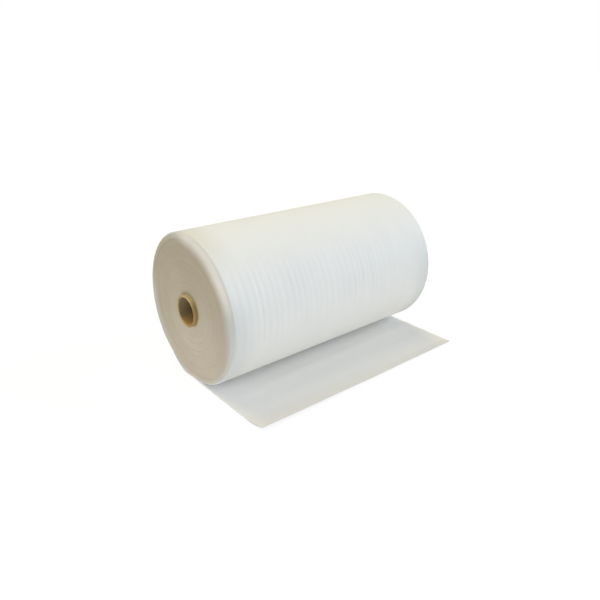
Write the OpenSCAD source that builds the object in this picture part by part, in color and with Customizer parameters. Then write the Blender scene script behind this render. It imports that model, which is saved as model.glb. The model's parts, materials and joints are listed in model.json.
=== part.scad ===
// A roll of white foam wrap on a paper core, lying on its side with its free end rolled out.
// Millimetres. The roll's axis runs along X, the free end lies towards -Y, and +Z is up.
// The origin is the centre of the core's bore, half way along the roll.

/* [Foam web] */
// Width of the foam web, which is the length of the roll
web_w = 750; // [300:10:1500]
// Thickness of one layer of the web
web_t = 2; // [1:0.5:5]

/* [Roll] */
// Outside diameter of the roll, over its ridges
roll_d = 424; // [240:2:700]
// Width of the flat spot that the roll rests on
flat_w = 80; // [20:5:110]
// How far the soft edge reaches in across each end face
edge_wide = 16; // [4:1:30]
// How far the soft edge reaches along the roll's side
edge_deep = 6; // [2:1:20]

/* [Ridges round the roll] */
// Distance from one ridge to the next, before they are made uneven
ridge_pitch = 22; // [12:1:60]
// Height of the tallest ridges
ridge_h = 1.5; // [0.4:0.1:2.5]
// How far a ridge may stray from its place, as a share of the pitch
ridge_stray = 0.12; // [0:0.02:0.2]

/* [Turns at the ends] */
// Distance between the turns that stand apart in each end face
turn_pitch = 20; // [12:1:40]
// Width of the gap between two turns
gap_w = 1.6; // [0.8:0.2:3]
// Depth of the gap between two turns
gap_depth = 1.6; // [0.6:0.2:4]

/* [Free end] */
// How far the free end reaches in front of the roll's axis
tail_reach = 320; // [260:5:600]
// Length of the stretch at its tip that curls up from the floor
curl_len = 52; // [20:2:100]
// Radius of that curl, to the web's underside
curl_r = 160; // [120:5:600]

/* [Core] */
// Diameter of the core's bore
core_bore_d = 76; // [50:1:152]
// Thickness of the core's wall
core_wall = 6.5; // [3:0.5:12]
// How far the core stands out of the foam at each end
core_proud = 10; // [0:1:30]
// Chamfer round the rims of the core
core_chamfer = 0.8; // [0.2:0.1:1.4]

/* [Hidden] */
$fn = 48;

roll_r = roll_d / 2;
core_r = core_bore_d / 2 + core_wall;
core_len = web_w + 2 * core_proud;

// Height of the axis over the floor, which the flat spot lowers
axis_h = sqrt(pow(roll_r, 2) - pow(flat_w / 2, 2));

// Steps in the soft edge, in one turn of the spiral and in the curl of the free end
edge_steps = 3;
turn_steps = 32;
curl_steps = 8;

// The ridges lie between the two soft edges, two points to a ridge
side_w = web_w - 2 * edge_deep;
ridge_count = round(side_w / ridge_pitch);
ridge_step = side_w / (2 * ridge_count);

// A golden-angle wave that never repeats makes the ridges uneven
uneven_turn = 137.5;
function uneven(i) = sin(uneven_turn * i);
function ridge_x(i) = -side_w / 2 + ridge_step * (i + 2 * ridge_stray * uneven(i));
function ridge_top(i) = ridge_h * (0.8 + 0.2 * uneven(3 * i));

// Points [radius, x] along the ridges from -X to +X, between the two soft edges
valley_r = roll_r - ridge_h;
ridge_line = [
    for (i = [1 : 2 * ridge_count - 1])
        [valley_r + (i % 2 == 0 ? 0 : ridge_top(i)), ridge_x(i)]];

// The spiral gap starts beside the core and ends short of the soft edge, under the roll
spiral_start = core_r + turn_pitch / 2;
spiral_end = valley_r - edge_wide - gap_w;
spiral_turns = (spiral_end - spiral_start) / turn_pitch;
spiral_points = ceil(spiral_turns * turn_steps);

// The flat stretch of the free end, from the flat spot's rear edge to the start of the curl
curl_angle = curl_len / curl_r * 180 / PI;
tail_flat_front = tail_reach - curl_r * sin(curl_angle);
tail_flat_rear = flat_w / 2;

// Room beyond the model that a cutting shape needs
past = 5;

// One soft edge at the +X end, as points [radius, x] from the side to the end face
function soft_edge(r) = [
    for (i = [0 : edge_steps])
        let (a = 90 * i / edge_steps)
        [r - edge_wide * (1 - cos(a)), side_w / 2 + edge_deep * sin(a)]];

function mirrored(points) = [for (i = [len(points) - 1 : -1 : 0]) [points[i][0], -points[i][1]]];

// Half the roll's lengthwise section: bore, ends, soft edges and ridges
module roll_section() {
    edge = soft_edge(valley_r);
    polygon(concat(
        [[core_r, -web_w / 2]],
        mirrored(edge),
        ridge_line,
        edge,
        [[core_r, web_w / 2]]));
}

// The wound turns, with the flat spot where their weight rests
module wound_turns() {
    difference() {
        rotate([0, 90, 0]) rotate_extrude() roll_section();
        translate([-web_w / 2 - past, -roll_r, -axis_h - roll_r]) cube([web_w + 2 * past, roll_d, roll_r]);
        for (side = [-1, 1]) translate([side * web_w / 2, 0, 0]) spiral_gap();
    }
}

// One side of the spiral gap, half a gap in or out of its middle line. From the free end inwards
// the web goes under the roll, up its back, over the top and down the front.
function spiral_side(half) = [
    for (i = [0 : spiral_points])
        let (t = i / spiral_points, a = -90 + 360 * spiral_turns * (1 - t))
        let (r = spiral_start + (spiral_end - spiral_start) * t + half)
        [r * cos(a), r * sin(a)]];

// The gap between the turns, centred on an end face
module spiral_gap() {
    outer = spiral_side(gap_w / 2);
    inner = spiral_side(-gap_w / 2);
    rotate([90, 0, 90]) linear_extrude(height = 2 * gap_depth, center = true)
        polygon(concat(outer, [for (i = [spiral_points : -1 : 0]) inner[i]]));
}

// A point of the curled tip, at an angle up from the curl's start and a distance from its centre
function curl_point(angle, r) = [-tail_flat_front - r * sin(angle), curl_r - r * cos(angle)];

// The outermost layer seen from the end: flat from under the roll, then curling up at its tip
module free_end() {
    underside = [for (i = [0 : curl_steps]) curl_point(curl_angle * i / curl_steps, curl_r)];
    topside = [for (i = [curl_steps : -1 : 0]) curl_point(curl_angle * i / curl_steps, curl_r - web_t)];
    translate([0, 0, -axis_h]) rotate([90, 0, 90]) linear_extrude(height = web_w, center = true)
        polygon(concat([[tail_flat_rear, web_t], [tail_flat_rear, 0]], underside, topside));
}

module foam_web() {
    color([0.90, 0.92, 0.91]) union() {
        wound_turns();
        free_end();
    }
}

module core_tube() {
    inner = core_bore_d / 2;
    end = core_len / 2;
    color([0.72, 0.58, 0.36]) rotate([0, 90, 0]) rotate_extrude() polygon([
        [inner, -end + core_chamfer],
        [inner + core_chamfer, -end],
        [core_r - core_chamfer, -end],
        [core_r, -end + core_chamfer],
        [core_r, end - core_chamfer],
        [core_r - core_chamfer, end],
        [inner + core_chamfer, end],
        [inner, end - core_chamfer]]);
}

foam_web();
core_tube();
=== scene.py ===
"""A roll of white foam wrap on a paper core, lying on its side with its free end rolled out.

Metres, in the CAD's frame: the roll's axis is the X axis, the free end lies towards -Y and +Z is up.
Angles round the roll start straight down and grow inwards along the web: up the back, over the
top and down the front.

A smooth change is given by the pair of places where it starts and ends. An arc is given by its
middle, and by how far from there it starts to fade and has faded. Uneven waves are given by how
many there are at most, to the metre, the turn or the web's width, and by how many sines make them.
"""

import json
import math

import bmesh
import bpy
import numpy as np
from mathutils import Matrix, Vector


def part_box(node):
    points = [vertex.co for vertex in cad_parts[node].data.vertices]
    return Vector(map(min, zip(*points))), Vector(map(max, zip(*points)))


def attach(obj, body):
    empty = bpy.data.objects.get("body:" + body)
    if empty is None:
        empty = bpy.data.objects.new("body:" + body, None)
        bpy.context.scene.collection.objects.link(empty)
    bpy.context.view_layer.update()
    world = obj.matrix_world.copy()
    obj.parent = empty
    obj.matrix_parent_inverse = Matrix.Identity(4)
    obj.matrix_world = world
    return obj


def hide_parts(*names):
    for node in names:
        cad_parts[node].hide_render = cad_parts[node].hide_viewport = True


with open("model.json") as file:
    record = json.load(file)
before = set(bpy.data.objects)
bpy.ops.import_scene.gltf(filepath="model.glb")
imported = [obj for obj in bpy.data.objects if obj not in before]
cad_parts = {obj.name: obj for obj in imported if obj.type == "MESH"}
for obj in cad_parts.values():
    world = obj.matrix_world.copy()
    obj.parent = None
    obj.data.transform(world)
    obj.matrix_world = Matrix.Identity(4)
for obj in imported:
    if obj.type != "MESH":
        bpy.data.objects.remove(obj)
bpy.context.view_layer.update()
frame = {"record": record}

# Sizes read from the frame
web_low, web_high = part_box("foam_web")
core_low, core_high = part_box("core_tube")
HALF_WEB = web_high.x
ROLL_R = web_high.z
AXIS_H = -web_low.z
TAIL_REACH = -web_low.y
CORE_R = core_high.z
HALF_CORE = core_high.x
BORE_R = frame["record"]["mounts"][0]["dims"]["r_mm"] / 1000
TURN = 2 * math.pi

# Of the sines that make an uneven wave, the slowest may have this share of its cycles
SLOWEST_SINE = 0.35

# The web's thickness, and the free end. The curl at its tip gets longer towards the -X end: its
# length in the middle of the web, and how much longer it is at that end
WEB_T = 0.002
TAIL_STEPS = 72
CURL_R = 0.158
CURL_LEN = 0.0425
CURL_SKEW = 0.0205
CURL_STEPS = 9
# The free end's waves, low ones across the web and higher ones along it: their height, where in
# front of the axis they start, and how much the higher ones slant
RIPPLE_H = 0.0003
RIPPLE_WAVES = (3.5, 4)
RIPPLE_FROM = 0.16
CREASE_H = 0.00075
CREASE_WAVES = (22, 5)
CREASE_FROM = (0.11, 0.15)
CREASE_SLANT = 0.02
# How softly a trough that would go into the floor is laid on it
FLOOR_BLEND = 0.4
# How far from its tip the web is painted a greyer white: painted shade that tones down the light its curl
# catches
TIP_SHADE = (0.01, 0.075)
# Painted light: foam is painted whiter in the nip between the roll and the free end, for light that seeps in
# from all round: how far in front of the axis, and over which arc of the roll's side
NIP_LIGHT_REACH = (0.07, 0.14)
NIP_ARC = (math.radians(335), math.radians(20), math.radians(50))
# The angles over which the free end's looks change into the roll's
SINGLE_FADE = (0.0, 0.6)

# The outermost turn goes on under itself for a while before the wound turns take over, and its soft
# edges are drawn in there by a little more than its thickness
OUTER_ANGLE = 1.16 * TURN
OUTER_STEPS = 116
UNDER_ITSELF_FROM = 0.8 * TURN
UNDER_ITSELF_IN = 1.1 * WEB_T

# The soft edge: an oval that bends the web in across each end face, and the angles over which the
# web starts to bend like that
EDGE_WIDE = 0.016
EDGE_DEEP = 0.006
EDGE_STEPS = 9
OVAL_STEPS = 200
EDGE_R = ROLL_R - EDGE_WIDE
EDGE_BEND = (math.radians(8), math.radians(52))
# How far from the web's edge the rim's painted light and shade and the side's painted cooler shade reach
EDGE_TINT = (0.0095, 0.0155)
SHADE_REACH = 0.11

# The flat spot: its sag dies away towards the core and ends at that radius, its straight stretch
# is looked for within that reach to either side, and its weight presses the ridges flat
FLAT_SAG = ROLL_R - AXIS_H
SAG_FROM_R = 0.12
FLAT_BLEND = 0.0006
FLAT_REACH = math.radians(60)
PRESSED = (math.radians(9), math.radians(28))

# Ridges round the roll: the least and most distance from one to the next, the height of a full one,
# the least and most share of it that they get, and their form as shares of the way across and up
RIDGE_PITCH = (0.0152, 0.0238)
RIDGE_H = 0.0018
RIDGE_SHARE = (0.36, 0.56)
RIDGE_FORM = ((0.0, 0.0), (0.12, 0.42), (0.3, 0.88), (0.5, 1.0), (0.7, 0.88), (0.88, 0.42))
# Round the roll each ridge rises and falls: the middle, the swing and the limits of its height
UNEVEN_MIDDLE = 0.85
UNEVEN_SWING = 0.25
UNEVEN_LIMITS = (0.2, 1.1)
UNEVEN_WAVES = (1.8, 3)
# Round the roll the ridges drift sideways: all alike, and also apart from each other, by a wave
# across the web that has its rate in radians to the metre
RIDGE_DRIFT = 0.0005
DRIFT_TOGETHER = (2.0, 3)
DRIFT_APART = (1.1, 3)
DRIFT_RATE = 37
# A slow swell under the ridges, with its height as a share of theirs
SWELL = 0.11
SWELL_WAVES = (24, 5)
# Powers that set how late the ridges, and their drift and swell, die away towards the soft edges
RIDGE_FADE = 16
DRIFT_FADE = 8
# The ridges stand up most in a band on the front of the roll and in one on its back, each given by
# its middle and half its width. They are full in that share of the band, and low outside it
FRONT_RIDGES = (math.radians(250), math.radians(34))
BACK_RIDGES = (math.radians(95), math.radians(60))
FULL_BAND = 0.3
RIDGE_LOW = 0.08
# Towards the -X end the front band moves down and gets wider and all ridges get higher, and towards
# the +X end they get lower
RIDGES_LEFT = (math.radians(7), math.radians(14), 0.35)
RIDGES_LEFT_FROM = 0.10
RIDGES_RIGHT = 0.55
RIDGES_RIGHT_OVER = (0.10, 0.25)
# How much painted shade the deepest of the valleys between the ridges gets
VALLEY_SHADE = 0.3

# The turns' edges in the ends, as shares of the way across each turn and of the gap's depth there
TURN_STEPS = 160
TURN_FORM = ((0.0, 1.0), (0.22, 0.0), (0.78, 0.0))
GAP_DEPTH = (0.00015, 0.0005)
GAP_WAVES = (0.7, 6)
# How far the turns' edges stray sideways, from each turn to the next and over many turns
TURN_JITTER = 0.0001
TURN_WANDER = 0.0003
WANDER_WAVES = (0.12, 5)
# Room beside the core, inside the outermost turn and under its soft edge, and the radii over which
# the turns draw in to lie under that edge
TURN_PLAY = 0.0002
UNDER_EDGE = 0.0025
COVERED = (EDGE_R - 0.6 * WEB_T, EDGE_R + 0.3 * WEB_T)
# Near the core each turn climbs over the web's start in a short ramp, further out all the way round
RAMP_SHARE = 0.07
RAMP_TURNS = 22

# Painted light stands in for light that seeps into the foam and whitens the end faces near the rim: degrees
# round the roll with the radius there from which on it does so, and how much further out the foam is all
# white
RIM_LIGHT_FROM = (
    (0, 0.190), (45, 0.170), (90, 0.164), (115, 0.186), (135, 0.194), (155, 0.188), (180, 0.164),
    (225, 0.151), (270, 0.159), (315, 0.186), (340, 0.194), (360, 0.190))
RIM_LIGHT_OVER = 0.042
# Where painted light makes the rim a warmer white, and where painted shade makes the side a darker cream
# near its edge at -X
RIM_LIT = (math.radians(208), math.radians(26), math.radians(56))
CREAM_SHADE_ARC = (math.radians(178), math.radians(8), math.radians(60))
CREAM_SHADE_FROM = (0.012, 0.022)

# The core: its rims, the edges of its plies with grooves between them, and the seam that winds along
# it. Half a groove's width is a share of a ply, and half the seam's a share of its pitch
CORE_SEGMENTS = 144
CORE_STEPS = 8
RIM_ROUND = 0.0009
RIM_STEPS = 5
PLIES = 9
PLY_GROOVE = 0.00025
HALF_GROOVE = 0.22
SEAM_PITCH = 0.105
HALF_SEAM = 0.012
# Arcs round the core with painted light that makes its paper lighter, painted shade that makes it darker,
# and in the bore painted light that makes it browner
CORE_LIT = (math.radians(185), math.radians(20), math.radians(50))
CORE_SHADY = (math.radians(290), math.radians(40), math.radians(80))
BORE_PAINTED_LIGHT = (math.radians(350), math.radians(25), math.radians(75))

# Colours in sRGB, 0 to 255
FOAM_WHITE = (252, 253, 251)
FOAM_SHADY = (249, 250, 249)
FOAM_VALLEY_SHADE = (238, 240, 238)
FOAM_SINGLE = (250, 248, 243)
FOAM_TIP_SHADE = (239, 237, 233)
FOAM_NIP_LIGHT = (255, 254, 250)
FOAM_EDGE = (200, 190, 169)
FOAM_EDGE_DARK = (191, 180, 158)
FOAM_GAP_SHADE = (160, 146, 120)
FOAM_SIDE_PAINTED_SHADE = (231, 234, 235)
FOAM_SIDE_CREAM_SHADE = (237, 234, 223)
FOAM_RIM_LIT = (255, 252, 245)
FOAM_RIM_SHADY = (214, 218, 213)
KRAFT = (204, 181, 122)
KRAFT_DARK = (172, 147, 92)
KRAFT_LIT = (232, 210, 156)
KRAFT_SHADY = (166, 136, 84)
KRAFT_BORE = (136, 122, 96)
KRAFT_BORE_LIT = (222, 176, 106)
KRAFT_SEAM = (120, 92, 52)

# Gloss and roughness
FOAM_GLOSS = {"Specular IOR Level": 0.42}
SKIN_ROUGHNESS = (0.52, 0.60)
EDGES_ROUGHNESS = 0.75
PAPER_ROUGHNESS = 0.82

# Patterns to the metre: in all directions, across and along the web, or along and across the core
FOAM_CELLS = 750.0
FOAM_DENTS = 130.0
FOAM_MOTTLE = 9.0
FOAM_BLOTCHES = 14.0
WEB_STREAKS = (300.0, 4.0, 1.0)
WEB_CREASES = (4.0, 40.0, 1.0)
PAPER_FIBRES = (900.0, 300.0, 300.0)
PAPER_BLOTCHES = 45.0
# The beige of the cut edges changes slowly and quickly from turn to turn: patterns to the turn,
# their detail, and how much each one counts
RINGS_SLOW = (0.16, 2.0, 0.7)
RINGS_QUICK = (1.3, 1.0, 0.3)

# How much each tint, painted shade and painted light shows where it is strongest
GAP_SHADE_SHARE = 0.15
BLOTCH_SHARE = 0.4
CORE_LIT_SHARE = 0.5
CORE_SHADY_SHARE = 0.8
SEAM_SHARE = 0.7
BORE_SHARE = 0.8

# Edges sharper than this aren't smoothed over
SHARP_ANGLE = math.radians(48)

# Camera fitted to the outline in the photograph
CAMERA_AZIMUTH = math.radians(-41.132)
CAMERA_ELEVATION = math.radians(23.576)
CAMERA_ROLL = math.radians(1.236)
CAMERA_DISTANCE = 1.7656
CAMERA_TARGET = Vector((0.01035, -0.00449, -0.07212))
CAMERA_LENS = 34.142
CAMERA_SENSOR = 36.0
CAMERA_CLIP = (0.05, 200.0)

# Light: an even sky, a warm light from above and behind, a broad cool one from the right in front
# and a small lamp low beside the near end
SKY_COLOUR = (0.50, 0.50, 0.495)
SUNS = (
    ("light_behind", Vector((0.0, 0.40, 0.92)), (0.98, 0.82, 0.44), 1.0),
    ("light_right", Vector((0.75, -0.50, 0.43)), (0.73, 0.89, 1.10), 1.0))
SUN_ANGLE = math.radians(38)
LAMP_PLACE = Vector((-0.62, -0.02, -0.185))
LAMP_AIM = Vector((-0.375, 0.02, -0.17))
LAMP_COLOUR = (0.90, 0.95, 1.15)
LAMP_SIZE = 0.25
LAMP_POWER = 0.38

# The floor gives back most of its light. What the camera sees of it is mostly its own white
FLOOR_HALF = 30.0
FLOOR_BOUNCE = 0.88
FLOOR_OWN_WHITE = 0.80
FLOOR_LIT_WHITE = 0.30

random = np.random.default_rng(7)


# Small helpers
def smoothstep(low, high, value):
    """0 up to low and 1 from high on, with a smooth rise between."""
    share = np.clip((value - low) / (high - low), 0.0, 1.0)
    return share * share * (3 - 2 * share)


def soft_min(a, b, blend):
    """The lesser of two values, rounded off where they are closer than blend."""
    share = np.clip(0.5 + 0.5 * (b - a) / blend, 0.0, 1.0)
    return b + (a - b) * share - blend * share * (1 - share)


def waves(value, cycles, count):
    """A smooth uneven wave, mostly within -1 to 1, of up to that many cycles for each unit of value."""
    total = np.zeros_like(value, dtype=float)
    for _ in range(count):
        rate = TURN * cycles * random.uniform(SLOWEST_SINE, 1.0)
        total += np.sin(rate * value + random.uniform(0, TURN))
    return total / math.sqrt(count)


def on_floor(wave):
    """A wave lifted by 1, which rests on 0 where it would go below that."""
    return -soft_min(-1 - wave, 0.0, FLOOR_BLEND)


def linear(rgb):
    """An sRGB colour of 0 to 255 as Blender's linear RGBA."""
    shares = [c / 255 for c in rgb]
    return (*[s / 12.92 if s < 0.04045 else ((s + 0.055) / 1.055) ** 2.4 for s in shares], 1.0)


def grey(level):
    """A linear grey as RGBA."""
    return (level, level, level, 1.0)


def quads(first, second):
    """Quads between two equally long rows of vertex numbers."""
    return np.stack([first[:-1], first[1:], second[1:], second[:-1]], axis=1)


def make_piece(name, points, faces, values=None, web_map=None):
    """A smooth mesh object. values holds named numbers and web_map UV coordinates, one a vertex."""
    mesh = bpy.data.meshes.new(name)
    mesh.from_pydata(points.tolist(), [], faces.tolist())
    shape = bmesh.new()
    shape.from_mesh(mesh)
    bmesh.ops.recalc_face_normals(shape, faces=shape.faces)
    shape.to_mesh(mesh)
    shape.free()
    for key, numbers in (values or {}).items():
        attribute = mesh.attributes.new(name=key, type="FLOAT", domain="POINT")
        attribute.data.foreach_set("value", numbers.ravel().astype(np.float32))
    if web_map is not None:
        corner_vertex = np.zeros(len(mesh.loops), dtype=np.int32)
        mesh.loops.foreach_get("vertex_index", corner_vertex)
        layer = mesh.uv_layers.new(name="web")
        layer.uv.foreach_set("vector", web_map[corner_vertex].ravel().astype(np.float32))
    mesh.shade_smooth()
    mesh.set_sharp_from_angle(angle=SHARP_ANGLE)
    piece = bpy.data.objects.new(name, mesh)
    bpy.context.scene.collection.objects.link(piece)
    return piece


# Shape of the settled roll
def from_bottom(angle):
    """How far an angle is from straight down, either way round."""
    return np.abs((angle + math.pi) % TURN - math.pi)


def rim_painted_light(radius, angle):
    """How far the rim's painted light has taken over from the beige of the cut edges."""
    start = np.interp(np.degrees(angle) % 360, *np.transpose(RIM_LIGHT_FROM))
    return smoothstep(0.0, RIM_LIGHT_OVER, radius - start)


def in_arc(angle, arc):
    """1 inside an arc round the roll, dying away to 0 outside it."""
    middle, near, far = arc
    return 1 - smoothstep(near, far, from_bottom(angle - middle))


def wound_radius(angle):
    """The web's outer side before the roll settles, at an angle wound inwards from the free end."""
    return ROLL_R - WEB_T * angle / TURN


def settled(radius, angle):
    """A layer's radius at an angle, once the roll has settled on its flat spot."""
    off = from_bottom(angle)
    sag = FLAT_SAG * smoothstep(SAG_FROM_R, ROLL_R, radius)
    flat = (radius - sag) / np.cos(np.minimum(off, FLAT_REACH))
    return np.where(off < FLAT_REACH, soft_min(radius, flat, FLAT_BLEND), radius)


def ridge_band(angles, x):
    """How strongly a ridge at x stands up, at each angle round the roll."""
    middle, half = FRONT_RIDGES
    lower, wider, more = RIDGES_LEFT
    left = smoothstep(RIDGES_LEFT_FROM, HALF_WEB, -x)
    right = smoothstep(*RIDGES_RIGHT_OVER, x)
    bands = ((middle + lower * left, half + wider * left), BACK_RIDGES)
    strength = np.full_like(angles, RIDGE_LOW)
    for middle, half in bands:
        off = from_bottom(angles - middle)
        strength = np.maximum(strength, 1 - (1 - RIDGE_LOW) * smoothstep(FULL_BAND * half, half, off))
    return strength * (1 + more * left) * (1 - RIDGES_RIGHT * right)


def ridge_columns(angles, side):
    """The columns across the rolled web, as x and height, a row for each angle. Valleys fall on columns."""
    widths = []
    while sum(widths) < 2 * side - RIDGE_PITCH[0]:
        widths.append(random.uniform(*RIDGE_PITCH))
    edges = -side + np.concatenate([[0], np.cumsum(widths)]) * 2 * side / sum(widths)
    turns = angles / TURN
    x = []
    height = []
    for low, high in zip(edges[:-1], edges[1:]):
        uneven = np.clip(UNEVEN_MIDDLE + UNEVEN_SWING * waves(turns, *UNEVEN_WAVES), *UNEVEN_LIMITS)
        strength = ridge_band(angles, (low + high) / 2) * uneven * random.uniform(*RIDGE_SHARE)
        for share, form in RIDGE_FORM:
            x.append(np.full_like(angles, low + (high - low) * share))
            height.append(np.clip(0.5 + strength * (form - 0.5), 0, 1))
    x.append(np.full_like(angles, side))
    height.append(height[0])
    x = np.stack(x, axis=1)
    height = np.stack(height, axis=1)
    apart = waves(turns, *DRIFT_APART)[:, None] * np.sin(x * DRIFT_RATE)
    drift = apart + waves(turns, *DRIFT_TOGETHER)[:, None]
    inward = 1 - (x / side) ** DRIFT_FADE
    swell = waves(x[0], *SWELL_WAVES) * np.abs(height - 0.5).max(axis=1, keepdims=True)
    ridge = (height - 0.5) * (1 - (x / side) ** RIDGE_FADE)
    height = np.clip(0.5 + ridge + 2 * SWELL * swell * inward, 0, 1)
    return x + RIDGE_DRIFT * drift * inward, height


def edge_columns():
    """The soft edge at +X: the web's length along it, and its x, drop and normal (x, r) at each column."""
    fine = np.linspace(0, math.pi / 2, OVAL_STEPS)
    pieces = np.hypot(np.diff(EDGE_DEEP * np.sin(fine)), np.diff(EDGE_WIDE * np.cos(fine)))
    lengths = np.concatenate([[0], np.cumsum(pieces)])
    turn = np.linspace(0, math.pi / 2, EDGE_STEPS + 1)[1:]
    normal = np.stack([EDGE_WIDE * np.sin(turn), EDGE_DEEP * np.cos(turn)])
    normal = normal / np.hypot(*normal)
    return np.interp(turn, fine, lengths), EDGE_DEEP * np.sin(turn), 1 - np.cos(turn), normal


def free_end(flat_x):
    """The free end in rows from its tip to below the axis: its two sides' x, y and z, and its reach."""
    curl_len = CURL_LEN - CURL_SKEW * flat_x[0] / HALF_WEB
    flat_len = TAIL_REACH - CURL_R * np.sin(curl_len / CURL_R)
    curl_share = np.concatenate([np.linspace(1, 0, CURL_STEPS, endpoint=False), np.zeros(TAIL_STEPS)])
    flat_share = np.concatenate([np.ones(CURL_STEPS), np.linspace(1, 0, TAIL_STEPS, endpoint=False)])
    curl_angle = curl_share[:, None] * curl_len / CURL_R
    flat_y = flat_share[:, None] * flat_len
    reach = flat_y + CURL_R * np.sin(curl_angle)
    ripple = on_floor(waves(np.linspace(0, 1, flat_x.shape[1]), *RIPPLE_WAVES))
    crease = on_floor(waves(reach + CREASE_SLANT * flat_x, *CREASE_WAVES))
    lift = RIPPLE_H * ripple * smoothstep(RIPPLE_FROM, TAIL_REACH, reach)
    lift = lift + CREASE_H * crease * smoothstep(*CREASE_FROM, reach)
    sides = []
    for radius in (CURL_R, CURL_R - WEB_T):
        y = -flat_y - radius * np.sin(curl_angle)
        z = CURL_R - AXIS_H - radius * np.cos(curl_angle) + lift
        sides.append((flat_x, y, z))
    return sides, reach


def there_and_back(rows):
    """Rows of values for closed loops of vertices: along the outer side, then back along the inner one."""
    return np.concatenate([rows, rows[:, ::-1]], axis=1)


def web_tints(angles, across, along, radius, height, in_front):
    """How far each tint, painted shade and painted light has taken over at every vertex of the outermost
    turn and the free end.
    """
    from_edge = across.max() - np.abs(across)
    single = 1 - smoothstep(*SINGLE_FADE, angles)
    rolled = (1 - single) * (1 - smoothstep(*EDGE_TINT, from_edge))
    side_painted_shade = (1 - single) * (1 - smoothstep(0, SHADE_REACH, from_edge))
    cream = side_painted_shade * smoothstep(*CREAM_SHADE_FROM, from_edge)
    nip = single * (1 - smoothstep(*NIP_LIGHT_REACH, in_front)) + (1 - single) * in_arc(angles, NIP_ARC)
    return {
        "single_layer": single,
        "valley_shade": VALLEY_SHADE * (1 - height) * smoothstep(*EDGE_TINT, from_edge),
        "tip": 1 - smoothstep(*TIP_SHADE, along),
        "nip": nip,
        "side_painted_shade": side_painted_shade * (1 - in_arc(angles, RIM_LIT)),
        "side_cream_shade": cream * in_arc(angles, CREAM_SHADE_ARC) * (across < 0),
        "beige": rolled * (1 - rim_painted_light(radius, angles)),
        "flap": rolled,
        "lit": in_arc(angles, RIM_LIT)}


def make_outer_turn():
    """The outermost turn with its ridges and soft edges, and the free end that it runs out into."""
    tail_rows = CURL_STEPS + TAIL_STEPS
    angles = np.concatenate([np.zeros(tail_rows), np.linspace(0, OUTER_ANGLE, OUTER_STEPS)])
    rows = len(angles)
    side = HALF_WEB - EDGE_DEEP
    ridge_x, ridge_height = ridge_columns(angles, side)
    edge_length, edge_x, edge_drop, edge_normal = edge_columns()
    half_width = side + edge_length[-1]

    def with_edges(middle, edge, mirror):
        """A row's values across the whole web, with the soft edge's on both sides."""
        right = np.broadcast_to(edge, (rows, EDGE_STEPS))
        return np.concatenate([mirror * right[:, ::-1], middle, right], axis=1)

    zeros = np.zeros_like(ridge_x)
    across = with_edges(ridge_x, side + edge_length, -1)
    bent_x = with_edges(ridge_x, side + edge_x, -1)
    drop = with_edges(zeros, edge_drop, 1)
    height = with_edges(ridge_height, ridge_height[:, -1:] * (1 - edge_drop), 1)
    normal_x = with_edges(zeros, edge_normal[0], -1)
    normal_r = with_edges(zeros + 1, edge_normal[1], 1)
    columns = across.shape[1]

    # The rolled part: how far its edges are bent in, and its outer and inner side
    bend = smoothstep(*EDGE_BEND, angles)[:, None]
    ridged = smoothstep(*PRESSED, from_bottom(angles))[:, None]
    under = UNDER_ITSELF_IN * smoothstep(UNDER_ITSELF_FROM, TURN, angles)[:, None]
    straight_x = across * HALF_WEB / half_width
    x_out = straight_x + (bent_x - straight_x - np.sign(across) * under * drop) * bend
    free_radius = wound_radius(angles)
    r_out = settled(free_radius, angles)[:, None] - (free_radius - EDGE_R)[:, None] * drop * bend
    r_out = r_out + RIDGE_H * ridged * (height - 1)
    lean_x = normal_x * bend
    lean_r = 1 + (normal_r - 1) * bend
    lean = np.hypot(lean_x, lean_r)
    x_in = x_out - WEB_T * lean_x / lean
    r_in = r_out - WEB_T * lean_r / lean
    sin = np.sin(angles)[:, None]
    cos = np.cos(angles)[:, None]
    sides = [(x_out, r_out * sin, -r_out * cos), (x_in, r_in * sin, -r_in * cos)]

    # The free end takes the place of the rows before the roll
    tail_sides, reach = free_end(straight_x[:tail_rows])
    for whole, tail in zip(sides, tail_sides):
        for numbers, tail_numbers in zip(whole, tail):
            numbers[:tail_rows] = tail_numbers

    # Each row is one closed loop of vertices, outer side first
    points = np.stack([np.concatenate([out, inner[:, ::-1]], axis=1) for out, inner in zip(*sides)], axis=2)
    number = np.arange(rows * 2 * columns).reshape(rows, 2 * columns)
    loops = np.concatenate([number, number[:, :1]], axis=1)
    faces = [quads(first, second) for first, second in zip(loops[:-1], loops[1:])]
    faces += [quads(row[:columns], row[:columns - 1:-1]) for row in (number[0], number[-1])]

    # Places on the web for the material: across it, and along it from the tip
    middle = points[:, columns // 2]
    steps = np.linalg.norm(np.diff(middle, axis=0), axis=1)
    across = there_and_back(across)
    along = np.broadcast_to(np.concatenate([[0], np.cumsum(steps)])[:, None], across.shape)
    round_roll = np.broadcast_to(angles[:, None], across.shape)
    in_front = np.concatenate([reach[:, 0], np.zeros(OUTER_STEPS)])[:, None]
    radius, height = there_and_back(r_out), there_and_back(height)
    tints = web_tints(round_roll, across, along, radius, height, in_front)
    web_map = np.stack([across.ravel(), along.ravel()], axis=1)
    return make_piece("outer_turn", points.reshape(-1, 3), np.concatenate(faces), tints, web_map)


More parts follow.
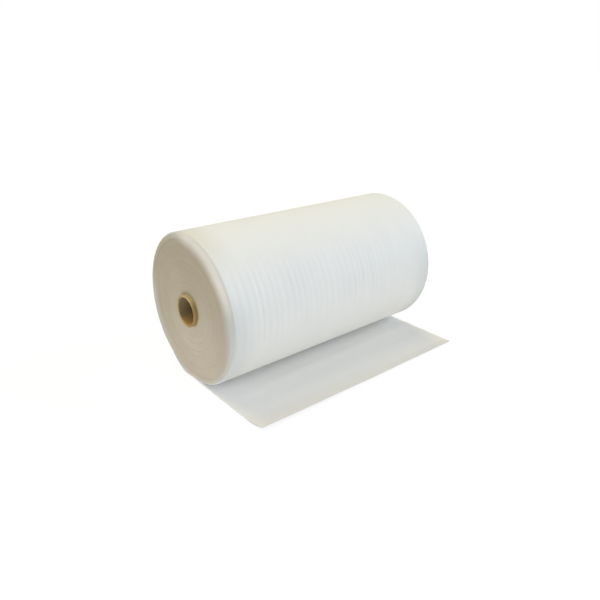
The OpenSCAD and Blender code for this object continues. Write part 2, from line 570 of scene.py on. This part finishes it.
def end_of_turns(side, angles, outside, pitch, turns):
    """The points in the end at -X or +X: a row along the spiral for each place in the turns' form."""
    wander = TURN_WANDER * np.clip(waves(angles / TURN, *WANDER_WAVES), -1, 1)
    jitter = TURN_JITTER * random.uniform(-1, 1, turns + 2)
    plain = HALF_WEB - TURN_WANDER - TURN_JITTER + wander
    plain = plain + np.interp((angles - OUTER_ANGLE) / TURN, np.arange(turns + 2), jitter)
    shallow, deep = GAP_DEPTH
    gap = shallow + (deep - shallow) * np.clip(waves(angles / TURN, *GAP_WAVES), 0, 1)
    rows = []
    for share, depth in TURN_FORM:
        radius = outside - pitch * share
        oval = np.clip((radius - EDGE_R + UNDER_EDGE) / EDGE_WIDE, 0, 1)
        covered = HALF_WEB - UNDER_EDGE - EDGE_DEEP * (1 - np.sqrt(1 - oval ** 2))
        x = plain + (covered - plain) * smoothstep(*COVERED, radius) - depth * gap
        r = settled(radius, angles)
        rows.append(np.stack([side * x, r * np.sin(angles), -r * np.cos(angles)], axis=1))
    return rows


def turn_faces(number):
    """The wound turns' faces, from vertex numbers by end, place in the turns' form and step."""
    faces = []
    for rows in number:
        faces += [quads(first, second) for first, second in zip(rows[:-1], rows[1:])]
        faces.append(quads(rows[-1][:-TURN_STEPS], rows[0][TURN_STEPS:]))

    # From end to end: the outside, the bore, and the web's step at the spiral's start and at its end
    left, right = number
    outer_wall = slice(0, TURN_STEPS + 1)
    bore_wall = slice(-TURN_STEPS - 1, None)
    faces.append(quads(left[0][outer_wall], right[0][outer_wall]))
    faces.append(quads(left[-1][bore_wall], right[-1][bore_wall]))
    faces.append(quads(*[np.concatenate([rows[:, 0], rows[:1, TURN_STEPS]]) for rows in number]))
    faces.append(quads(*[np.concatenate([rows[-1:, -TURN_STEPS - 1], rows[:, -1]]) for rows in number]))
    return np.concatenate(faces)


def make_wound_turns():
    """The turns inside the outermost one: a closed body with the edge of every turn in both ends."""
    room = wound_radius(OUTER_ANGLE) - CORE_R - 2 * TURN_PLAY
    last_share = TURN_FORM[-1][0]
    turns = round(room / WEB_T - last_share)
    pitch = room / (turns + last_share)
    angles = OUTER_ANGLE + TURN * np.arange(turns * TURN_STEPS + 1) / TURN_STEPS
    from_core = turns - (angles - OUTER_ANGLE) / TURN
    share = from_core % 1
    ramped = 1 - smoothstep(0, RAMP_TURNS, from_core)
    climb = np.floor(from_core) + share + (smoothstep(1 - RAMP_SHARE, 1, share) - share) * ramped
    outside = CORE_R + TURN_PLAY + pitch * (last_share + climb)

    # The turns lie below the valleys between the ridges, less so towards the core
    lower = RIDGE_H * smoothstep(*PRESSED, from_bottom(angles))
    outside = outside - lower * smoothstep(CORE_R, ROLL_R, outside)
    points = np.array([end_of_turns(side, angles, outside, pitch, turns) for side in (-1, 1)])
    number = np.arange(points[..., 0].size).reshape(points.shape[:3])

    shares, depths = np.transpose(TURN_FORM)[:, None, :, None]
    whole = np.zeros(number.shape)
    values = {
        "turn": whole + angles / TURN + shares,
        "gap_shade": whole + depths,
        "white": whole + rim_painted_light(outside - pitch * shares, angles),
        "lit": whole + in_arc(angles, RIM_LIT)}
    return make_piece("wound_turns", points.reshape(-1, 3), turn_faces(number), values)


def make_core():
    """The paper tube, turned from one line: outside, rounded rim, edges of the plies, rim and bore."""
    turn = np.linspace(0, math.pi / 2, RIM_STEPS)
    rim_r = RIM_ROUND * (1 - np.cos(turn))
    rim_x = HALF_CORE - RIM_ROUND * (1 - np.sin(turn))
    line = [(CORE_R, x) for x in np.linspace(0, HALF_CORE - RIM_ROUND, CORE_STEPS, endpoint=False)]
    line += [(CORE_R - r, x) for r, x in zip(rim_r, rim_x)]
    ply = (CORE_R - BORE_R - 2 * RIM_ROUND) / PLIES
    for index in range(PLIES - 1):
        middle = CORE_R - RIM_ROUND - ply * (index + 1)
        half = HALF_GROOVE * ply
        line += [(middle + half, HALF_CORE), (middle, HALF_CORE - PLY_GROOVE), (middle - half, HALF_CORE)]
    line += [(BORE_R + r, x) for r, x in zip(rim_r[::-1], rim_x[::-1])]
    line += [(BORE_R, x) for x in np.linspace(HALF_CORE - RIM_ROUND, 0, CORE_STEPS)[1:]]
    half_line = np.array(line)
    mirrored = half_line[::-1][1:-1] * (1, -1)
    r, x = np.concatenate([half_line, mirrored]).T
    angles = np.linspace(0, TURN, CORE_SEGMENTS, endpoint=False)[:, None]
    points = np.stack([x + 0 * angles, r * np.sin(angles), -r * np.cos(angles)], axis=2)
    number = np.arange(CORE_SEGMENTS * len(r)).reshape(CORE_SEGMENTS, len(r))
    loops = np.concatenate([number, number[:1]])
    loops = np.concatenate([loops, loops[:, :1]], axis=1)
    faces = [quads(first, second) for first, second in zip(loops[:-1], loops[1:])]
    values = {
        "radius": r + 0 * angles,
        "lit": 0 * r + in_arc(angles, CORE_LIT),
        "shady": 0 * r + in_arc(angles, CORE_SHADY),
        "brown": 0 * r + in_arc(angles, BORE_PAINTED_LIGHT)}
    return make_piece("core", points.reshape(-1, 3), np.concatenate(faces), values)


# Materials
class Nodes:
    """A new material's node tree, with one short call that adds a node and joins its inputs."""

    def __init__(self, name):
        self.material = bpy.data.materials.new(name)
        self.material.use_nodes = True
        self.tree = self.material.node_tree
        self.tree.nodes.clear()

    def add(self, kind, inputs=None, output=0, **settings):
        """Adds a node and returns one of its outputs. An input is a number, a colour or another output."""
        node = self.tree.nodes.new(kind)
        for key, value in settings.items():
            setattr(node, key, value)
        for key, value in (inputs or {}).items():
            if isinstance(value, bpy.types.NodeSocket):
                self.tree.links.new(value, node.inputs[key])
            else:
                node.inputs[key].default_value = value
        return node.outputs[output] if node.outputs else None

    def value(self, name):
        """One of the numbers that the mesh holds at each vertex."""
        return self.add("ShaderNodeAttribute", output="Fac", attribute_name=name)

    def math(self, operation, a, b=0.0):
        return self.add("ShaderNodeMath", {0: a, 1: b}, operation=operation)

    def ramp(self, value, low, high, to_low=0.0, to_high=1.0):
        """A smooth change from to_low, where the value is low, to to_high."""
        inputs = {"Value": value, "From Min": low, "From Max": high, "To Min": to_low, "To Max": to_high}
        return self.add("ShaderNodeMapRange", inputs, interpolation_type="SMOOTHSTEP")

    def mix(self, share, a, b):
        """A mix of two colours, each an sRGB colour or an output. Inputs 6 and 7 are the colour ones."""
        a, b = [linear(c) if isinstance(c, tuple) else c for c in (a, b)]
        return self.add("ShaderNodeMix", {0: share, 6: a, 7: b}, output=2, data_type="RGBA")

    def noise(self, vector, scale, detail=2.0, roughness=0.5):
        inputs = {"Vector": vector, "Scale": scale, "Detail": detail, "Roughness": roughness}
        return self.add("ShaderNodeTexNoise", inputs)

    def bump(self, height, distance, strength=1.0, under=None):
        inputs = {"Height": height, "Distance": distance, "Strength": strength}
        if under is not None:
            inputs["Normal"] = under
        return self.add("ShaderNodeBump", inputs)

    def finish(self, colour, roughness, normal, **fixed):
        """The surface shader; fixed holds its numbers that are the same all over."""
        inputs = {"Base Color": colour, "Roughness": roughness, "Normal": normal, **fixed}
        shader = self.add("ShaderNodeBsdfPrincipled", inputs)
        self.add("ShaderNodeOutputMaterial", {"Surface": shader})
        return self.material


def foam_cells(nodes, place, under=None):
    """Bump of closed foam cells about a millimetre across, over a softer unevenness."""
    cells = nodes.add("ShaderNodeTexVoronoi", {"Vector": place, "Scale": FOAM_CELLS}, feature="SMOOTH_F1")
    soft = nodes.noise(place, scale=FOAM_DENTS, detail=3.0)
    rough = nodes.bump(soft, distance=0.0006, strength=0.5, under=under)
    return nodes.bump(cells, distance=0.00025, strength=0.6, under=rough)


def rim_colour(nodes):
    """The rim's painted light and shade: a warm white in its lit arc and a cooler grey outside it."""
    return nodes.mix(nodes.value("lit"), FOAM_RIM_SHADY, FOAM_RIM_LIT)


def foam_skin():
    """The foam's side: white, ridged round the roll, greyer where it is one layer, beige at its cut edge."""
    nodes = Nodes("foam_skin")
    place = nodes.add("ShaderNodeTexCoord", output="Object")
    web = nodes.add("ShaderNodeUVMap", uv_map="web")
    single = nodes.value("single_layer")
    stretched = nodes.add("ShaderNodeMapping", {"Vector": web, "Scale": WEB_STREAKS})
    streaks = nodes.noise(stretched, scale=1.0, detail=3.0, roughness=0.6)
    lying = nodes.add("ShaderNodeMapping", {"Vector": web, "Scale": WEB_CREASES})
    creases = nodes.math("MULTIPLY", nodes.noise(lying, scale=1.0, roughness=0.6), single)
    mottle = nodes.ramp(nodes.noise(place, scale=FOAM_MOTTLE, detail=3.0), low=0.3, high=0.75)
    white = nodes.mix(mottle, FOAM_WHITE, FOAM_SHADY)
    # Painted shade: the valleys between the ridges are painted a greyer white
    white = nodes.mix(nodes.value("valley_shade"), white, FOAM_VALLEY_SHADE)
    grey_share = nodes.math("MULTIPLY", single, nodes.ramp(streaks, low=0.2, high=0.5, to_low=0.85))
    # Painted shade: the tip of the free end is a greyer white
    toned = nodes.mix(grey_share, white, nodes.mix(nodes.value("tip"), FOAM_SINGLE, FOAM_TIP_SHADE))
    # Painted light: a whiter foam in the nip between the roll and the free end
    toned = nodes.mix(nodes.value("nip"), toned, FOAM_NIP_LIGHT)
    # Painted shade: the side is a cooler, darker white near the web's edges, outside the lit arc
    toned = nodes.mix(nodes.value("side_painted_shade"), toned, FOAM_SIDE_PAINTED_SHADE)
    # Painted shade: the side is a darker cream near its edge at -X, in the lit arc on top
    toned = nodes.mix(nodes.value("side_cream_shade"), toned, FOAM_SIDE_CREAM_SHADE)
    # Painted light and shade: the soft edge gets the rim's lit and shaded whites
    toned = nodes.mix(nodes.value("flap"), toned, rim_colour(nodes))
    toned = nodes.mix(nodes.value("beige"), toned, FOAM_EDGE)
    crease_bump = nodes.bump(creases, distance=0.003, strength=0.5)
    lines = nodes.bump(streaks, distance=0.0005, strength=0.4, under=crease_bump)
    smoother, rougher = SKIN_ROUGHNESS
    roughness = nodes.ramp(mottle, low=0.0, high=1.0, to_low=smoother, to_high=rougher)
    return nodes.finish(toned, roughness, foam_cells(nodes, place, lines), **FOAM_GLOSS)


def foam_edges():
    """The foam's cut edges in the ends: beige, uneven from turn to turn, with painted shade in the gaps and
    painted light near the rim.
    """
    nodes = Nodes("foam_edges")
    place = nodes.add("ShaderNodeTexCoord", output="Object")
    turn = nodes.value("turn")
    rings = []
    for scale, detail, share in (RINGS_SLOW, RINGS_QUICK):
        inputs = {"W": turn, "Scale": scale, "Detail": detail}
        noise = nodes.add("ShaderNodeTexNoise", inputs, noise_dimensions="1D")
        rings.append(nodes.math("MULTIPLY", noise, share))
    rings = nodes.math("ADD", *rings)
    blotch = nodes.noise(place, scale=FOAM_BLOTCHES, detail=3.0)
    uneven = nodes.math("ADD", nodes.math("MULTIPLY", rings, 0.5), nodes.math("MULTIPLY", blotch, 0.5))
    beige = nodes.mix(nodes.ramp(uneven, low=0.25, high=0.75), FOAM_EDGE, FOAM_EDGE_DARK)
    # Painted shade: the gaps between the turns' edges are darker
    gap = nodes.math("MULTIPLY", nodes.value("gap_shade"), GAP_SHADE_SHARE)
    # Painted light: the cut edges are whitened near the rim, warmer in its lit arc
    toned = nodes.mix(nodes.value("white"), nodes.mix(gap, beige, FOAM_GAP_SHADE), rim_colour(nodes))
    return nodes.finish(toned, EDGES_ROUGHNESS, foam_cells(nodes, place), **FOAM_GLOSS)


def kraft_paper():
    """The core's brown paper: fibres, a darker bore and a seam that winds along the tube."""
    nodes = Nodes("kraft_paper")
    place = nodes.add("ShaderNodeTexCoord", output="Object")
    apart = nodes.tree.nodes.new("ShaderNodeSeparateXYZ")
    nodes.tree.links.new(place, apart.inputs[0])
    round_tube = nodes.math("DIVIDE", nodes.math("ARCTAN2", apart.outputs["Y"], apart.outputs["Z"]), TURN)
    along_tube = nodes.math("DIVIDE", apart.outputs["X"], SEAM_PITCH)
    seam = nodes.math("FRACT", nodes.math("ADD", round_tube, along_tube))
    off_seam = nodes.math("ABSOLUTE", nodes.math("SUBTRACT", seam, 0.5))
    seam_line = nodes.ramp(off_seam, low=0.0, high=HALF_SEAM, to_low=1.0, to_high=0.0)
    stretched = nodes.add("ShaderNodeMapping", {"Vector": place, "Scale": PAPER_FIBRES})
    fibres = nodes.noise(stretched, scale=1.0, detail=4.0)
    blotch = nodes.noise(place, scale=PAPER_BLOTCHES, detail=3.0)
    blotch = nodes.ramp(blotch, low=0.45, high=0.8, to_high=BLOTCH_SHARE)
    in_bore = nodes.ramp(nodes.value("radius"), BORE_R, BORE_R + RIM_ROUND, to_low=BORE_SHARE, to_high=0.0)
    paper = nodes.mix(nodes.ramp(fibres, low=0.3, high=0.75), KRAFT, KRAFT_DARK)
    paper = nodes.mix(blotch, paper, KRAFT_DARK)
    # Painted light and shade: lighter and darker arcs round the core, and a browner lit arc in the bore
    paper = nodes.mix(nodes.math("MULTIPLY", nodes.value("lit"), CORE_LIT_SHARE), paper, KRAFT_LIT)
    paper = nodes.mix(nodes.math("MULTIPLY", nodes.value("shady"), CORE_SHADY_SHARE), paper, KRAFT_SHADY)
    paper = nodes.mix(nodes.math("MULTIPLY", seam_line, SEAM_SHARE), paper, KRAFT_SEAM)
    paper = nodes.mix(in_bore, paper, nodes.mix(nodes.value("brown"), KRAFT_BORE, KRAFT_BORE_LIT))
    seam_bump = nodes.bump(nodes.math("SUBTRACT", 1.0, seam_line), distance=0.0006)
    fibre_bump = nodes.bump(fibres, distance=0.0003, strength=0.6, under=seam_bump)
    return nodes.finish(paper, PAPER_ROUGHNESS, fibre_bump)


# The pieces
outer_turn = make_outer_turn()
wound_turns = make_wound_turns()
core = make_core()
for piece, node, slot, material in (
        (outer_turn, "foam_web", "foam", foam_skin()),
        (wound_turns, "foam_web", "foam", foam_edges()),
        (core, "core_tube", "paper_core", kraft_paper())):
    piece.data.materials.append(material)
    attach(piece, "root")
    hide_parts(node)


# Floor, sky, light and camera
def make_floor():
    """A white floor, on which the object's shadow stays light."""
    shape = bmesh.new()
    bmesh.ops.create_grid(shape, x_segments=1, y_segments=1, size=FLOOR_HALF)
    mesh = bpy.data.meshes.new("floor")
    shape.to_mesh(mesh)
    shape.free()
    floor = bpy.data.objects.new("floor", mesh)
    floor.location.z = -AXIS_H
    bpy.context.scene.collection.objects.link(floor)
    nodes = Nodes("floor_white")
    lit = nodes.add("ShaderNodeBsdfDiffuse", {"Color": grey(FLOOR_LIT_WHITE)})
    own = nodes.add("ShaderNodeEmission", {"Color": grey(1.0), "Strength": FLOOR_OWN_WHITE})
    seen = nodes.add("ShaderNodeAddShader", {0: lit, 1: own})
    bounce = nodes.add("ShaderNodeBsdfDiffuse", {"Color": grey(FLOOR_BOUNCE)})
    direct = nodes.add("ShaderNodeLightPath", output="Is Camera Ray")
    surface = nodes.add("ShaderNodeMixShader", {0: direct, 1: bounce, 2: seen})
    nodes.add("ShaderNodeOutputMaterial", {"Surface": surface})
    mesh.materials.append(nodes.material)


def make_sky():
    """An even pale sky that the camera and transmission rays see as plain white."""
    world = bpy.data.worlds.new("sky")
    world.use_nodes = True
    tree = world.node_tree
    tree.nodes.clear()
    path = tree.nodes.new("ShaderNodeLightPath")
    seen = tree.nodes.new("ShaderNodeMath")
    seen.operation = "MAXIMUM"
    tree.links.new(path.outputs["Is Camera Ray"], seen.inputs[0])
    tree.links.new(path.outputs["Is Transmission Ray"], seen.inputs[1])
    light = tree.nodes.new("ShaderNodeBackground")
    light.inputs["Color"].default_value = (*SKY_COLOUR, 1.0)
    white = tree.nodes.new("ShaderNodeBackground")
    white.inputs["Color"].default_value = grey(1.0)
    mixed = tree.nodes.new("ShaderNodeMixShader")
    output = tree.nodes.new("ShaderNodeOutputWorld")
    tree.links.new(seen.outputs[0], mixed.inputs[0])
    tree.links.new(light.outputs[0], mixed.inputs[1])
    tree.links.new(white.outputs[0], mixed.inputs[2])
    tree.links.new(mixed.outputs[0], output.inputs["Surface"])
    bpy.context.scene.world = world


def add_light(data, colour, strength, place, towards):
    """Puts a light in its place and turns it towards a point."""
    data.color = colour
    data.energy = strength
    light = bpy.data.objects.new(data.name, data)
    light.location = place
    light.rotation_mode = "QUATERNION"
    light.rotation_quaternion = (place - towards).to_track_quat("Z", "Y")
    light.visible_camera = False
    bpy.context.scene.collection.objects.link(light)


def make_lights():
    for name, place, colour, strength in SUNS:
        sun = bpy.data.lights.new(name, "SUN")
        sun.angle = SUN_ANGLE
        add_light(sun, colour, strength, place, Vector((0, 0, 0)))
    lamp = bpy.data.lights.new("light_low", "AREA")
    lamp.shape = "DISK"
    lamp.size = LAMP_SIZE
    add_light(lamp, LAMP_COLOUR, LAMP_POWER, LAMP_PLACE, LAMP_AIM)


def make_camera():
    """The photograph's view, from an azimuth, an elevation and a roll round a target."""
    level = math.cos(CAMERA_ELEVATION)
    back = Vector((
        math.sin(CAMERA_AZIMUTH) * level,
        -math.cos(CAMERA_AZIMUTH) * level,
        math.sin(CAMERA_ELEVATION)))
    right = Vector((0, 0, 1)).cross(back).normalized()
    up = back.cross(right)
    cos, sin = math.cos(CAMERA_ROLL), math.sin(CAMERA_ROLL)
    axes = Matrix((cos * right + sin * up, cos * up - sin * right, back)).transposed()
    data = bpy.data.cameras.new("camera")
    data.lens = CAMERA_LENS
    data.sensor_width = CAMERA_SENSOR
    data.clip_start, data.clip_end = CAMERA_CLIP
    camera = bpy.data.objects.new("camera", data)
    camera.matrix_world = Matrix.Translation(CAMERA_TARGET + back * CAMERA_DISTANCE) @ axes.to_4x4()
    bpy.context.scene.collection.objects.link(camera)
    bpy.context.scene.camera = camera


make_floor()
make_sky()
make_lights()
make_camera()
bpy.context.scene.view_settings.view_transform = "Standard"
